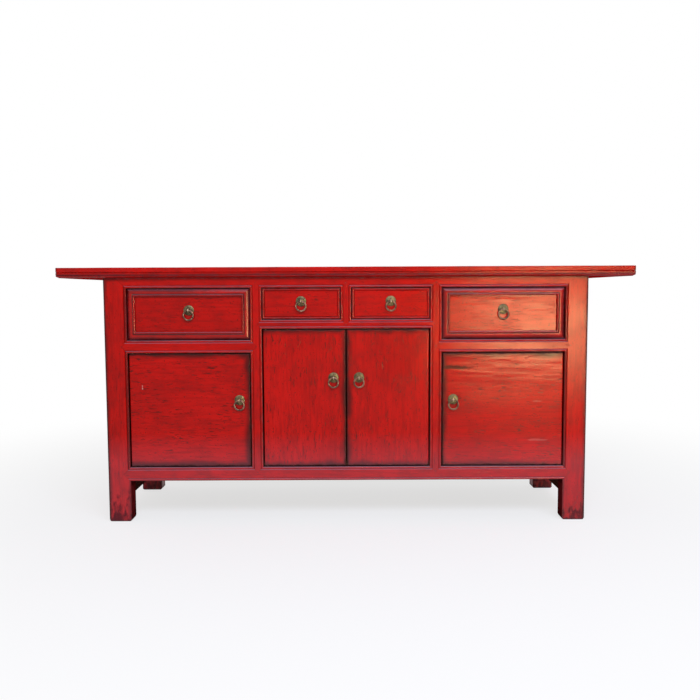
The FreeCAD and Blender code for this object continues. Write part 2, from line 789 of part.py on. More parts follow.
outer_bay = grown((-leg_inner, muntin_x[0]), GROOVE_DEPTH)
centre_bay = grown((muntin_x[1], -muntin_x[1]), GROOVE_DEPTH)
back_panels = []
back_grooves = []
for bay, cross_z in ((outer_bay, outer_cross_z), (centre_bay, centre_cross_z)):
    for gap_z in ((back_low_z[1], cross_z[0]), (cross_z[1], back_top_z[0])):
        limits = (bay, back_panel_y, grown(gap_z, GROOVE_DEPTH))
        back_panels.append(box(*limits))
        back_grooves.append(box(*(grown(pair, JOINT_GAP) for pair in limits)))
outer_panels = back_panels[:2]
back_panels += [mirrored(panel) for panel in outer_panels]
back_grooves += [mirrored(groove) for groove in back_grooves[:2]]

# Bearers under the top, partitions and drawer runners
bearer_y = (bar_back, back_bar_front)
bearers = []
bearer_mortises = []
for middle in (-stile_mid, 0, stile_mid):
    bearer, mortises = plain_bar(
        (span(middle, BEARER_WIDTH), bearer_y, (top_rail_low, under_top)), 1, 2, STUB_TENON
    )
    bearers.append(bearer)
    bearer_mortises += mortises
partition_limits = (
    span(-stile_mid, PARTITION_THICK),
    grown(bearer_y, GROOVE_DEPTH),
    (floor_top, top_rail_low + GROOVE_DEPTH),
)
partition = box(*partition_limits)
partition_groove = box(
    grown(partition_limits[0], JOINT_GAP),
    grown(partition_limits[1], JOINT_GAP),
    (floor_top, partition_limits[2][1] + JOINT_GAP),
)


def runner(edges, guide, top):
    """Drawer runner: a ledge between two edges along X, and a guide that stands on it."""
    ledge, mortises = plain_bar((edges, bearer_y, (top - RUNNER_HEIGHT, top)), 1, 2, STUB_TENON)
    fence = box(guide, bearer_y, (top, top + GUIDE_HEIGHT))
    return joined([ledge, fence]), mortises


partition_face = stile_mid + PARTITION_THICK / 2
outside_runner, outside_mortises = runner(
    (-leg_inner - OUTER_GUIDE_WIDTH, -leg_inner + RUNNER_LEDGE),
    (-leg_inner - OUTER_GUIDE_WIDTH, -leg_inner),
    outer_rail_top,
)
inside_runner, inside_mortises = runner(
    (-stile_outer - RUNNER_LEDGE, -partition_face), (-stile_outer, -partition_face), outer_rail_top
)
partition_inner = stile_mid - PARTITION_THICK / 2
centre_runner, centre_mortises = runner(
    (-partition_inner, -stile_inner + RUNNER_LEDGE), (-partition_inner, -stile_inner), centre_rail_top
)
middle_runner, middle_mortises = runner(
    grown((-drawer_stile_side, drawer_stile_side), RUNNER_LEDGE),
    (-drawer_stile_side, drawer_stile_side),
    centre_rail_top,
)
leg_posts = [
    box((-frame_side, -leg_inner), (front_y, front_leg_back), (0, under_top)),
    box((-frame_side, -leg_inner), (rear_leg_front, rear_y), (0, under_top)),
]
outside_runner = less(outside_runner, leg_posts)
left_runners = [outside_runner, inside_runner, centre_runner]
runners = left_runners + [mirrored(piece) for piece in left_runners] + [middle_runner]

# Floor boards, laid front to back on the bottom rails; their front edge stops the doors
stile_posts = [
    box(grown((-stile_outer, -stile_inner), JOINT_GAP), (front_y, bar_back + JOINT_GAP), (0, under_top)),
    box(grown(muntin_x, JOINT_GAP), grown(back_y, JOINT_GAP), (0, under_top)),
]
obstacles = leg_posts + stile_posts
obstacles += [mirrored(post) for post in obstacles]
floor_y = (stop_front, back_panel_front - JOINT_GAP)
floor_side = side_panel_inner - JOINT_GAP
board_count = max(1, round(2 * floor_side / FLOOR_BOARD_WIDTH))
board_pitch = 2 * floor_side / board_count
floor_boards = []
for number in range(board_count):
    start = number * board_pitch - floor_side
    x = grown((start, start + board_pitch), -FLOOR_BOARD_GAP / 2)
    floor_boards.append(less(box(x, floor_y, (bottom_rail_top, floor_top)), obstacles))

# Strips behind the rails that stop the doors at the top
stop_y = (stop_front, bar_back)
outer_stop = box(
    grown((-leg_inner, -stile_outer), -STOP_END_GAP), stop_y, (outer_rail_low - STOP_HEIGHT, outer_rail_low)
)
centre_stop = box(
    grown((-stile_inner, stile_inner), -STOP_END_GAP),
    stop_y,
    (centre_rail_low - STOP_HEIGHT, centre_rail_low),
)

# Joinery cut into the pieces that take the others
leg_front = less(
    front_leg(),
    [
        top_rail_sockets[0],
        bottom_rail_sockets[0],
        outer_rail_sockets[0],
        side_low_mortises[0],
        side_top_mortises[0],
        side_groove,
    ],
)
leg_rear = less(
    rear_leg(),
    [
        side_low_mortises[1],
        side_top_mortises[1],
        side_groove,
        back_low_mortises[0],
        back_top_mortises[0],
        outer_cross_mortises[0],
    ]
    + back_grooves,
)
stile_runner_cuts = inside_mortises + centre_mortises
stile_left = less(
    stile, [outer_rail_sockets[1], centre_rail_sockets[0], partition_groove] + stile_runner_cuts
)
partition_grooves = [partition_groove, mirrored(partition_groove)]
top_rail = less(
    top_rail,
    [stile_sockets[1], mirrored(stile_sockets[1]), drawer_stile_sockets[1]]
    + bearer_mortises
    + partition_grooves,
)
both_doors = outer_door_sockets[:1] + centre_door_sockets[:1]
bottom_rail = less(
    bottom_rail,
    [stile_sockets[0], mirrored(stile_sockets[0])] + both_doors + [mirrored(cut) for cut in both_doors],
)
outer_rail = less(outer_rail, outside_mortises + inside_mortises + outer_door_sockets[1:])
centre_runner_mortises = centre_mortises + [mirrored(cut) for cut in centre_mortises] + middle_mortises
centre_pivots = [centre_door_sockets[1], mirrored(centre_door_sockets[1])]
centre_rail = less(centre_rail, [drawer_stile_sockets[0]] + centre_runner_mortises + centre_pivots)
left_muntin = less(
    muntin,
    back_grooves
    + stile_runner_cuts
    + [partition_groove, outer_cross_mortises[1], centre_cross_mortises[0]],
)
muntin_cuts = muntin_mortises + [mirrored(cut) for cut in muntin_mortises]
left_cross = less(outer_cross, back_grooves + outside_mortises + inside_mortises)
back_frame = [
    less(back_low, back_grooves + muntin_cuts),
    less(back_top, back_grooves + muntin_cuts + bearer_mortises + partition_grooves),
    left_muntin,
    mirrored(left_muntin),
    left_cross,
    less(centre_cross, back_grooves + centre_runner_mortises),
    mirrored(left_cross),
]
bearers = [less(bearer, partition_grooves) for bearer in bearers]
top_mortises = [
    top_tenon(front_y + LEG_DEPTH / 2, JOINT_GAP),
    top_tenon(rear_y - LEG_DEPTH / 2, JOINT_GAP),
]
top = less(top_board(), top_mortises + [mirrored(cut) for cut in top_mortises])

# Every node of the cabinet
nodes = {
    "top_board": top,
    "leg_front_left": leg_front,
    "leg_front_right": mirrored(leg_front),
    "leg_rear_left": leg_rear,
    "leg_rear_right": mirrored(leg_rear),
    "front_top_rail": top_rail,
    "front_bottom_rail": bottom_rail,
    "front_stile_left": stile_left,
    "front_stile_right": mirrored(stile_left),
    "drawer_stile": drawer_stile,
    "mid_rail_left": outer_rail,
    "mid_rail_centre": centre_rail,
    "mid_rail_right": mirrored(outer_rail),
    "side_rails": Part.makeCompound(side_rails + [mirrored(rail) for rail in side_rails]),
    "side_panels": Part.makeCompound([side_panel, mirrored(side_panel)]),
    "back_frame": Part.makeCompound(back_frame),
    "back_panels": Part.makeCompound(back_panels),
    "partitions": Part.makeCompound([partition, mirrored(partition)]),
    "top_bearers": Part.makeCompound(bearers),
    "drawer_runners": Part.makeCompound(runners),
    "floor_boards": Part.makeCompound(floor_boards),
    "door_stops": Part.makeCompound([outer_stop, centre_stop, mirrored(outer_stop)]),
}
fitted = (
    ("drawer", "left", "right", outer_drawer, outer_drawer_pull),
    ("drawer", "centre_left", "centre_right", centre_drawer, centre_drawer_pull),
    ("door", "left", "right", outer_door, outer_door_pull),
    ("door", "centre_left", "centre_right", centre_door, centre_door_pull),
)
for thing, here, there, pieces, fitting in fitted:
    for piece, shape in pieces.items():
        nodes[f"{thing}_{here}_{piece}"] = shape
        nodes[f"{thing}_{there}_{piece}"] = mirrored(shape)
    for piece in ("plate", "ring"):
        nodes[f"{thing}_{here}_pull_{piece}"] = fitting[piece]
        nodes[f"{thing}_{there}_pull_{piece}"] = mirrored(fitting[piece])

os.makedirs("parts", exist_ok=True)
for name, shape in nodes.items():
    Part.makeCompound(shape.Solids).exportStep(f"parts/{name}.step")
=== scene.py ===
import json
import math
import bmesh
import bpy
from mathutils import Matrix, Vector, kdtree, noise


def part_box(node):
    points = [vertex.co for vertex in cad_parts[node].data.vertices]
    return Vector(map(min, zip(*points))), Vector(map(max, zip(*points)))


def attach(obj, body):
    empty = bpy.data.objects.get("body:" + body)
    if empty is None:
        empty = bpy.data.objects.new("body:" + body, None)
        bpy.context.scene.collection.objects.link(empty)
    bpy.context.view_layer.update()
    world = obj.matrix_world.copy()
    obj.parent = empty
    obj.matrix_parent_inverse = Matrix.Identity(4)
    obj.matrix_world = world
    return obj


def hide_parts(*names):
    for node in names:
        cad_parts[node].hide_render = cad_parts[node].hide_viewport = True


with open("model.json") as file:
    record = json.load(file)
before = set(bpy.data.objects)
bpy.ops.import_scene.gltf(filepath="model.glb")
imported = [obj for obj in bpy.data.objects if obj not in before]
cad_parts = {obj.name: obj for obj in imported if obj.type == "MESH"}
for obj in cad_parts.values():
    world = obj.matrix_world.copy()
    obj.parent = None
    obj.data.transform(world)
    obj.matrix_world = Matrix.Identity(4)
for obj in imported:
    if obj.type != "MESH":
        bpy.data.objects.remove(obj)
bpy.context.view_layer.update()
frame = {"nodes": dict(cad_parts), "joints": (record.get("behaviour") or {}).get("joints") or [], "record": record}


# Legs: four square posts of softwood, planed by hand and lacquered red on the sides that show.
# The front pair has a worn outer arris and a bead along the openings, and dark, knocked feet.
BODY_OF = {
    node: body for body, nodes in frame["record"]["behaviour"]["bodies"].items() for node in nodes
}
AXES = ACROSS, BACKWARDS, UPWARDS = 0, 1, 2
MM = 0.001
FLAT, SLIGHT, SHARP, BLUNT = (math.radians(turn) for turn in (1, 4, 30, 60))
ROUND_ARRIS = 12 * MM
EDGE_STEP = 1.5 * MM
CUTS = [offset * MM for offset in (1, 2.5, 5, 8, 11.5, 16, 24)]
RAIL_IN_LEG = 34 * MM
INNER_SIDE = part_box("front_top_rail")[1].x - RAIL_IN_LEG
UNDER_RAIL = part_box("front_bottom_rail")[0].z
PANEL_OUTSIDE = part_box("side_panels")[1].x
TRUE_BEHIND = 9 * MM
FRONT_SKIN = 0.5 * MM
FOOT_ROUND = 7 * MM
EASED = 2.5 * MM
SAME_POINT = 1e-6
MITRE_SLOPE = 0.3
FACING = 0.5
DEEP, SHALLOW = 99.0, 7.0
LUMPS_PER_METRE = 9
RIPPLE_FADE = 60
FAR_OFF = Vector((9, 9, 9))


def linear(text):
    """Linear colour of an sRGB hex value."""
    parts = [int(text[place : place + 2], 16) / 255 for place in (1, 3, 5)]
    return [part / 12.92 if part <= 0.04045 else ((part + 0.055) / 1.055) ** 2.4 for part in parts] + [1.0]


def add(tree, kind, inputs=None, **settings):
    """New node of a tree. An input is a value, or an output that is linked to it."""
    made = tree.nodes.new(kind)
    for name, value in settings.items():
        setattr(made, name, value)
    for name, value in (inputs or {}).items():
        if isinstance(value, bpy.types.NodeSocket):
            tree.links.new(value, made.inputs[name])
        else:
            made.inputs[name].default_value = value
    return made


def blank_material(name):
    """New material and its tree of nodes, still empty."""
    material = bpy.data.materials.new(name)
    material.use_nodes = True
    material.node_tree.nodes.clear()
    return material, material.node_tree


def red_lacquer(
    name,
    grain,
    edge=(6.0, 0.45),
    rim=("#7c4a44", 0.4, 4.4),
    waxy_dirt_and_shade=(0.5, 2.6),
    nicked=0.4,
    gloss=0.13,
    ripple=(0.14, 0),
    brushed=0.12,
    dust_and_sheen=0.0,
    corner=0.0,
    foot=0.0,
    scars=(),
):
    """Aged red lacquer over softwood: many thin coats rubbed down, so the red is deep, uneven and glossy.

    The grain under it shows as faint streaks and dark nicks. The edges are darker, edge wide and strong:
    partly grime from handling, partly painted shade beside the openings and mouldings and, on the top, a
    painted dark reflection. The arrises, rim, are rubbed to the ground under it: its colour, strength and
    width; a pale rim is also a painted highlight along the beads, and the doors' dark rim also painted shade
    round them. The hollows are darker, waxy_dirt_and_shade strong and wide: old waxy dirt, and painted shade
    in them. The lowest part is paler, as a painted reflection of the pale floor. What faces up along the
    front is greyed, as strongly as dust_and_sheen says: dusty, and with a painted sheen of the light from
    above. The round upright arrises are darker where they turn between front and side, as strongly as
    corner says. Faces behind the front, in the openings, are darker as painted shade. Knocks have scuffed
    the lowest part, foot high. gloss is the specular level, ripple how deep the surface waves and above what
    height, brushed how high the brush marks stand. A scar is a knock or scratch: its place across and up,
    half its size, its colour and strength. Sizes are in millimetres.
    """
    material, tree = blank_material(name)
    where = add(tree, "ShaderNodeTexCoord").outputs["Object"]
    facing = add(tree, "ShaderNodeNewGeometry").outputs["Normal"]
    facing = add(tree, "ShaderNodeSeparateXYZ", {"Vector": facing}).outputs
    turned = add(tree, "ShaderNodeMath", {0: facing["X"], 1: facing["Y"]}, operation="MULTIPLY").outputs[0]
    seen = {
        "height": add(tree, "ShaderNodeSeparateXYZ", {"Vector": where}).outputs["Z"],
        "facing": facing["Z"],
        "turned": add(tree, "ShaderNodeMath", {0: turned}, operation="ABSOLUTE").outputs[0],
    }
    for pattern, along, across, detail in (
        ("patch", 330, 150, 3.0),
        ("cloud", 95, 60, 2.0),
        ("blotch", 48, 30, 3.0),
        ("streak", 80, 8.0, 3.0),
        ("nick", 22, 3.2, 1.0),
        ("pit", 7, 4.5, 2.0),
        ("brush", 34, 5.5, 2.0),
        ("fleck", 30, 13, 5.0),
        ("break", 21, 21, 4.0),
        ("wave", 130, 20, 1.0),
    ):
        scale = [1 / (across * MM)] * 3
        scale[grain] = 1 / (along * MM)
        place = add(tree, "ShaderNodeMapping", {"Vector": where, "Scale": scale})
        cells = {"Vector": place.outputs["Vector"], "Scale": 1.0, "Detail": detail}
        seen[pattern] = add(tree, "ShaderNodeTexNoise", cells).outputs["Fac"]
    for attribute in ("arris", "hollow", "joint", "depth"):
        seen[attribute] = add(tree, "ShaderNodeAttribute", attribute_name=attribute).outputs["Fac"]
    for mask, source, low, high, to_low, to_high in (
        ("streaks", "streak", 0.44, 0.72, 0.0, 0.45),
        ("blotches", "blotch", 0.46, 0.70, 0.0, 0.45),
        ("clusters", "cloud", 0.40, 0.58, 0.15, 1.0),
        ("marks", "nick", 0.63, 0.69, 0.0, nicked),
        ("pits", "pit", 0.65, 0.70, 0.0, nicked),
        # Faces behind the front, in the openings, are darkened as painted shade.
        ("painted_shade_in_openings", "depth", 0.6, 8.0, 0.0, 0.9),
        # Upward faces near the front paler: dusty, and a painted sheen of the light from above.
        ("shelf", "facing", 0.3, 0.85, 0.0, dust_and_sheen),
        ("near", "depth", 5.0, 10.0, 1.0, 0.0),
        # Round upright arrises darker where they turn between front and side.
        ("corner", "turned", 0.1, 0.4, 0.0, corner),
        # Lowest part paler: a painted reflection of the pale floor.
        ("painted_floor_reflection", "height", 0.30, 0.20, 0.0, 0.08),
        ("fray", "break", 0.3, 0.7, -1.0, 1.0),
        ("spots", "fleck", 0.3, 0.7, -1.0, 1.0),
        ("drift", "cloud", 0.3, 0.7, -1.0, 1.0),
    ):
        limits = {"From Min": low, "From Max": high, "To Min": to_low, "To Max": to_high}
        seen[mask] = add(tree, "ShaderNodeMapRange", {"Value": seen[source], **limits}).outputs["Result"]
    for mask, source, sway, swaying, start, end, strength in (
        # Arrises rubbed to the ground. A pale rim is also a painted highlight along the beads, and the doors' dark
        # rim is also painted shade round them.
        ("rim", "arris", "fray", 3.0, 0.4, rim[2], rim[1]),
        # Edges darker: grime from handling, and painted shade beside the openings and mouldings.
        ("edges", "arris", "drift", edge[0] * 0.3, 0.0, edge[0], edge[1]),
        # Hollows darker: old waxy dirt, and painted shade in them.
        ("waxy_dirt_and_shade", "hollow", "fray", 0.7, 0.4, waxy_dirt_and_shade[1], waxy_dirt_and_shade[0]),
        ("seams", "joint", "drift", 1.4, 0.0, 1.6, 0.25),
        ("scuffs", "height", "spots", 0.9 * foot * MM, -0.15 * foot * MM, foot * MM, 0.85),
    ):
        swayed = {0: seen[sway], 1: swaying, 2: seen[source]}
        limits = {"From Min": start, "From Max": end, "To Min": strength, "To Max": 0.0}
        limits["Value"] = add(tree, "ShaderNodeMath", swayed, operation="MULTIPLY_ADD").outputs[0]
        if mask != "scuffs" or foot:
            faded = add(tree, "ShaderNodeMapRange", limits, interpolation_type="SMOOTHSTEP")
            seen[mask] = faded.outputs["Result"]
    for mask, first, second in (("nicks", "marks", "clusters"), ("dust_and_sheen", "shelf", "near")):
        both = {0: seen[first], 1: seen[second]}
        seen[mask] = add(tree, "ShaderNodeMath", both, operation="MULTIPLY").outputs[0]
    red = add(tree, "ShaderNodeValToRGB", {"Fac": seen["patch"]})
    red.color_ramp.elements[0].position = 0.33
    red.color_ramp.elements[0].color = linear("#b20903")
    red.color_ramp.elements[1].position = 0.68
    red.color_ramp.elements[1].color = linear("#c40d05")
    colour = red.outputs["Color"]
    rough = add(tree, "ShaderNodeMapRange", {"Value": seen["cloud"], "To Min": 0.12, "To Max": 0.24})
    rough = rough.outputs["Result"]
    # Tones laid over the red in turn. Among them are painted shade beside and behind the openings and in the
    # hollows, a painted highlight on pale rims, a painted sheen on upward faces and a painted reflection of the
    # floor low down.
    for mask, tone, dull in (
        ("streaks", "#7a0804", 0.0),
        ("blotches", "#850c09", 0.05),
        ("edges", "#360b0a", 0.05),
        ("nicks", "#470e07", 0.1),
        ("pits", "#470e07", 0.1),
        ("painted_floor_reflection", "#a394a0", 0.3),
        ("scuffs", "#3f161f", 0.3),
        ("seams", "#2c0c08", 0.3),
        ("rim", rim[0], 0.3),
        ("corner", "#2e0c0b", 0.2),
        ("waxy_dirt_and_shade", "#210b08", 0.3),
        ("painted_shade_in_openings", "#2a0907", 0.4),
        ("dust_and_sheen", "#b08a9c", 0.2),
    ):
        if mask in seen:
            layer = {0: seen[mask], 6: colour, 7: linear(tone)}
            colour = add(tree, "ShaderNodeMix", layer, data_type="RGBA").outputs[2]
            duller = {0: seen[mask], 1: dull, 2: rough}
            rough = add(tree, "ShaderNodeMath", duller, operation="MULTIPLY_ADD").outputs[0]
    for x, z, half_wide, half_tall, tone, strength in scars:
        inwards = (1 / (half_wide * MM), 0.0, 1 / (half_tall * MM))
        offset = (-x / half_wide, 0.0, -z / half_tall)
        place = add(tree, "ShaderNodeMapping", {"Vector": where, "Location": offset, "Scale": inwards})
        away = add(tree, "ShaderNodeVectorMath", {0: place.outputs["Vector"]}, operation="LENGTH")
        ragged = {0: seen["spots"], 1: 0.6, 2: away.outputs["Value"]}
        limits = {"From Min": 0.5, "From Max": 1.0, "To Min": strength, "To Max": 0.0}
        limits["Value"] = add(tree, "ShaderNodeMath", ragged, operation="MULTIPLY_ADD").outputs[0]
        factor = add(tree, "ShaderNodeMapRange", limits).outputs["Result"]
        layer = {0: factor, 6: colour, 7: linear(tone)}
        colour = add(tree, "ShaderNodeMix", layer, data_type="RGBA").outputs[2]
    depth, above = ripple
    limits = {"From Min": (above - RIPPLE_FADE) * MM, "From Max": (above + RIPPLE_FADE) * MM}
    rise = add(tree, "ShaderNodeMapRange", {"Value": seen["height"], **limits}).outputs["Result"]
    waves = add(tree, "ShaderNodeMath", {0: seen["wave"], 1: rise}, operation="MULTIPLY").outputs[0]
    normal = add(tree, "ShaderNodeBump", {"Height": waves, "Distance": depth * MM}).outputs["Normal"]
    for pattern, height in (("brush", brushed), ("streak", 0.4 * brushed), ("nicks", -0.12)):
        heights = {"Height": seen[pattern], "Distance": abs(height) * MM, "Normal": normal}
        normal = add(tree, "ShaderNodeBump", heights, invert=height < 0).outputs["Normal"]
    skin = {"Base Color": colour, "Roughness": rough, "Specular IOR Level": gloss, "Normal": normal}
    surface = add(tree, "ShaderNodeBsdfPrincipled", skin)
    add(tree, "ShaderNodeOutputMaterial", {"Surface": surface.outputs["BSDF"]})
    return material


def bare_softwood(name, grain, board=150.0, tones=("#6b4a2d", "#a17b51"), gloss=0.3):
    """Unfinished softwood, sawn and planed, browned and made dusty by age: long open grain and boards that differ.

    board is how wide a board is, in millimetres, tones are its dark and pale grain, and gloss is the
    specular level.
    """
    material, tree = blank_material(name)
    where = add(tree, "ShaderNodeTexCoord").outputs["Object"]
    seen = {}
    for pattern, along, across, detail in (
        ("board", 2000, board, 0.0),
        ("ring", 420, 13, 3.0),
        ("pore", 26, 1.6, 2.0),
    ):
        scale = [1 / (across * MM)] * 3
        scale[grain] = 1 / (along * MM)
        place = add(tree, "ShaderNodeMapping", {"Vector": where, "Scale": scale})
        cells = {"Vector": place.outputs["Vector"], "Scale": 1.0, "Detail": detail}
        seen[pattern] = add(tree, "ShaderNodeTexNoise", cells).outputs["Fac"]
    wood = add(tree, "ShaderNodeValToRGB", {"Fac": seen["ring"]})
    wood.color_ramp.elements[0].position = 0.34
    wood.color_ramp.elements[0].color = linear(tones[0])
    wood.color_ramp.elements[1].position = 0.66
    wood.color_ramp.elements[1].color = linear(tones[1])
    colour = wood.outputs["Color"]
    for mask, low, high, strength, tone in (
        ("board", 0.4, 0.62, 0.5, "#5c3d26"),
        ("pore", 0.56, 0.7, 0.55, "#3c2617"),
    ):
        limits = {"From Min": low, "From Max": high, "To Min": 0.0, "To Max": strength}
        factor = add(tree, "ShaderNodeMapRange", {"Value": seen[mask], **limits}).outputs["Result"]
        layer = {0: factor, 6: colour, 7: linear(tone)}
        colour = add(tree, "ShaderNodeMix", layer, data_type="RGBA").outputs[2]
    normal = add(tree, "ShaderNodeBump", {"Height": seen["pore"], "Distance": 0.12 * MM}).outputs["Normal"]
    skin = {"Base Color": colour, "Roughness": 0.72, "Specular IOR Level": gloss, "Normal": normal}
    surface = add(tree, "ShaderNodeBsdfPrincipled", skin)
    add(tree, "ShaderNodeOutputMaterial", {"Surface": surface.outputs["BSDF"]})
    return material


def worn_wood(
    node,
    finish,
    inside,
    bare,
    soften=0.0,
    worn_foot=0.0,
    pitch=40 * MM,
    waver=0.35 * MM,
    shade_behind_front=True,
):
    """Hand-worked copy of a CAD piece: cut into small faces, its arrises eased and its faces uneven.

    Each point keeps how far it is, in millimetres, from the nearest arris, hollow and mitred joint, and
    behind the front. bare(face) says which faces have the inside finish. A piece of the front is left
    true further back, where doors and drawers turn and slide in it.
    """
    mesh = bmesh.new()
    mesh.from_mesh(frame["nodes"][node].data)
    bmesh.ops.remove_doubles(mesh, verts=mesh.verts, dist=SAME_POINT)
    bmesh.ops.dissolve_limit(mesh, angle_limit=FLAT, verts=mesh.verts, edges=mesh.edges)
    low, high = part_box(node)
    outer = max(abs(low.x), abs(high.x)) - ROUND_ARRIS
    lines = {"arris": [], "hollow": [], "joint": []}
    for edge in mesh.edges:
        turn = edge.calc_face_angle_signed(0.0)
        start, end = (vert.co for vert in edge.verts)
        way = (end - start).normalized()
        on_face = max(start.y, end.y) < low.y + FRONT_SKIN
        rounded = worn_foot and turn > SLIGHT and min(abs(start.x), abs(end.x)) > outer
        if not rounded and (abs(turn) < SHARP or (on_face and 0 < turn < BLUNT)):
            continue
        kind = "joint" if min(abs(way.x), abs(way.z)) > MITRE_SLOPE else "arris" if turn > 0 else "hollow"
        steps = max(1, math.ceil((end - start).length / EDGE_STEP))
        lines[kind] += [start.lerp(end, step / steps) for step in range(steps + 1)]
    for axis in AXES:
        length = high[axis] - low[axis]
        count = max(1, round(length / pitch))
        places = {length * step / count for step in range(1, count)}
        cuts = [cut for cut in CUTS if cut < length / 2]
        places |= set(cuts) | {length - cut for cut in cuts}
        facing = Vector([float(axis == other) for other in AXES])
        for place in sorted(places):
            whole = mesh.verts[:] + mesh.edges[:] + mesh.faces[:]
            at = low + facing * place
            bmesh.ops.bisect_plane(mesh, geom=whole, dist=SAME_POINT, plane_co=at, plane_no=facing)
    values = {}
    for kind, points in lines.items():
        near = kdtree.KDTree(max(1, len(points)))
        for number, point in enumerate(points or [FAR_OFF]):
            near.insert(point, number)
        near.balance()
        values[kind] = [near.find(vert.co)[2] / MM for vert in mesh.verts]
    # How far behind the front each point lies on these pieces. The lacquer darkens such faces as painted shade,
    # capped shallower below the bottom rail so that the painted shade there is a little lighter.
    values["depth"] = [
        min((vert.co.y - low.y) / MM, DEEP if vert.co.z > UNDER_RAIL - MM else SHALLOW)
        if shade_behind_front and abs(vert.co.x) < INNER_SIDE + MM
        else 0.0
        for vert in mesh.verts
    ]
    for radius, upper in ((soften, high.z), (worn_foot, low.z + worn_foot)):
        core_low = low + Vector((radius,) * 3)
        core_high = high - Vector((radius,) * 3)
        for vert in mesh.verts:
            core = Vector(min(max(c, a), b) for c, a, b in zip(vert.co, core_low, core_high))
            away = vert.co - core
            if radius and vert.co.z < upper + MM and away.length > radius:
                vert.co = core + away * (radius / away.length)
    mesh.normal_update()
    moves = [vert.normal * (waver * noise.noise(vert.co * LUMPS_PER_METRE)) for vert in mesh.verts]
    for vert, move in zip(mesh.verts, moves):
        if not shade_behind_front or vert.co.y < low.y + TRUE_BEHIND:
            vert.co += move
    for face in mesh.faces:
        face.smooth = True
        face.material_index = int(bare(face))
    for edge in mesh.edges:
        edge.smooth = len(edge.link_faces) == 2 and abs(edge.calc_face_angle_signed()) < SHARP
    copy = bpy.data.meshes.new(node + "_worn")
    mesh.to_mesh(copy)
    mesh.free()
    for kind, numbers in values.items():
        copy.attributes.new(kind, "FLOAT", "POINT").data.foreach_set("value", numbers)
    copy.materials.append(finish)
    copy.materials.append(inside)
    piece = bpy.data.objects.new(node + "_worn", copy)
    bpy.context.scene.collection.objects.link(piece)
    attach(piece, BODY_OF[node])
    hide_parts(node)
    return piece


def faces_inwards(face):
    """Whether a face looks towards the middle of the cabinet."""
    return face.normal.x * face.calc_center_median().x < 0


def faces_back(face):
    """Whether a face looks to the back."""
    return face.normal.y > FACING


def inside_rear_leg(face):
    """Whether a face of a rear leg lies inside the cabinet, where no lacquer went."""
    middle = face.calc_center_median()
    behind_panel = face.normal.y < -FACING and abs(middle.x) < PANEL_OUTSIDE
    return middle.z > UNDER_RAIL and (behind_panel or faces_inwards(face))


wood_upright = bare_softwood("bare softwood, upright grain", UPWARDS)
wood_across = bare_softwood("bare softwood, grain across", ACROSS)
wood_back = bare_softwood("bare softwood, grain front to back", BACKWARDS, board=176.0)
leg_lacquer = red_lacquer(
    "red lacquer on legs",
    UPWARDS,
    edge=(11.0, 0.6),
    rim=("#4a1d1c", 0.55, 3.6),
    nicked=0.6,
    corner=0.8,
    foot=76.0,
)
thin_lacquer = red_lacquer(
    "thin matt red lacquer inside legs", UPWARDS, edge=(8.0, 0.5), gloss=0.0, foot=76.0
)
for node, inwards in (("leg_front_left", 1), ("leg_front_right", -1)):
    worn_wood(
        node,
        leg_lacquer,
        thin_lacquer,
        lambda face: max(inwards * face.normal.x, face.normal.y) > FACING,
        worn_foot=FOOT_ROUND,
    )
for node in ("leg_rear_left", "leg_rear_right"):
    worn_wood(node, leg_lacquer, wood_upright, inside_rear_leg, soften=EASED, shade_behind_front=False)


# Front frame: rails and stiles of softwood with a bead along each opening, tenoned together with mitred,
# pointed shoulders. The lacquer went on after the joints were made, so it runs over them.
upright_lacquer = red_lacquer("red lacquer on stiles", UPWARDS)
# The rails' upward faces are paler: dusty, and a painted highlight along the tops of their beads.
rail_lacquer = red_lacquer("red lacquer on rails", ACROSS, dust_and_sheen=0.5)
for node in ("front_stile_left", "front_stile_right", "drawer_stile"):
    worn_wood(node, upright_lacquer, wood_upright, faces_back)
for node in ("front_top_rail", "front_bottom_rail", "mid_rail_left", "mid_rail_centre", "mid_rail_right"):
    worn_wood(node, rail_lacquer, wood_across, faces_back)


# Sides: two rails to a side, tenoned into the legs, and one wide board in their grooves.
# Lacquered outside. Inside, the boards are bare and the rails are dark brown.
side_lacquer = red_lacquer("red lacquer on side boards", UPWARDS, edge=(14.0, 0.6))
depth_lacquer = red_lacquer("red lacquer on side rails", BACKWARDS)
dark_wood = bare_softwood(
    "dark softwood in side rails", BACKWARDS, tones=("#35201b", "#5a332a"), gloss=0.0
)
worn_wood("side_rails", depth_lacquer, dark_wood, faces_inwards, shade_behind_front=False)
worn_wood("side_panels", side_lacquer, wood_upright, faces_inwards, shade_behind_front=False)


# Back and inside: frame, panels, partitions, bearers, runners, floor boards and stops are plain planed
# softwood that was never lacquered, tenoned and grooved together.
def planed_wood(node):
    """Copy of a bare piece in which the grain runs along the longest side of each board."""
    mesh = bmesh.new()
    mesh.from_mesh(frame["nodes"][node].data)
    bmesh.ops.remove_doubles(mesh, verts=mesh.verts, dist=SAME_POINT)
    unseen = set(mesh.faces)
    while unseen:
        board = [unseen.pop()]
        for face in board:
            joined = {other for edge in face.edges if len(edge.link_faces) == 2 for other in edge.link_faces}
            board += joined & unseen
            unseen -= joined
        spread = [[vert.co[axis] for face in board for vert in face.verts] for axis in AXES]
        longest = max(AXES, key=lambda axis: max(spread[axis]) - min(spread[axis]))
        for face in board:
            face.material_index = longest
    copy = bpy.data.meshes.new(node + "_planed")
    mesh.to_mesh(copy)
    mesh.free()
    for wood in (wood_across, wood_back, wood_upright):
        copy.materials.append(wood)
    piece = bpy.data.objects.new(node + "_planed", copy)
    bpy.context.scene.collection.objects.link(piece)
    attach(piece, BODY_OF[node])
    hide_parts(node)


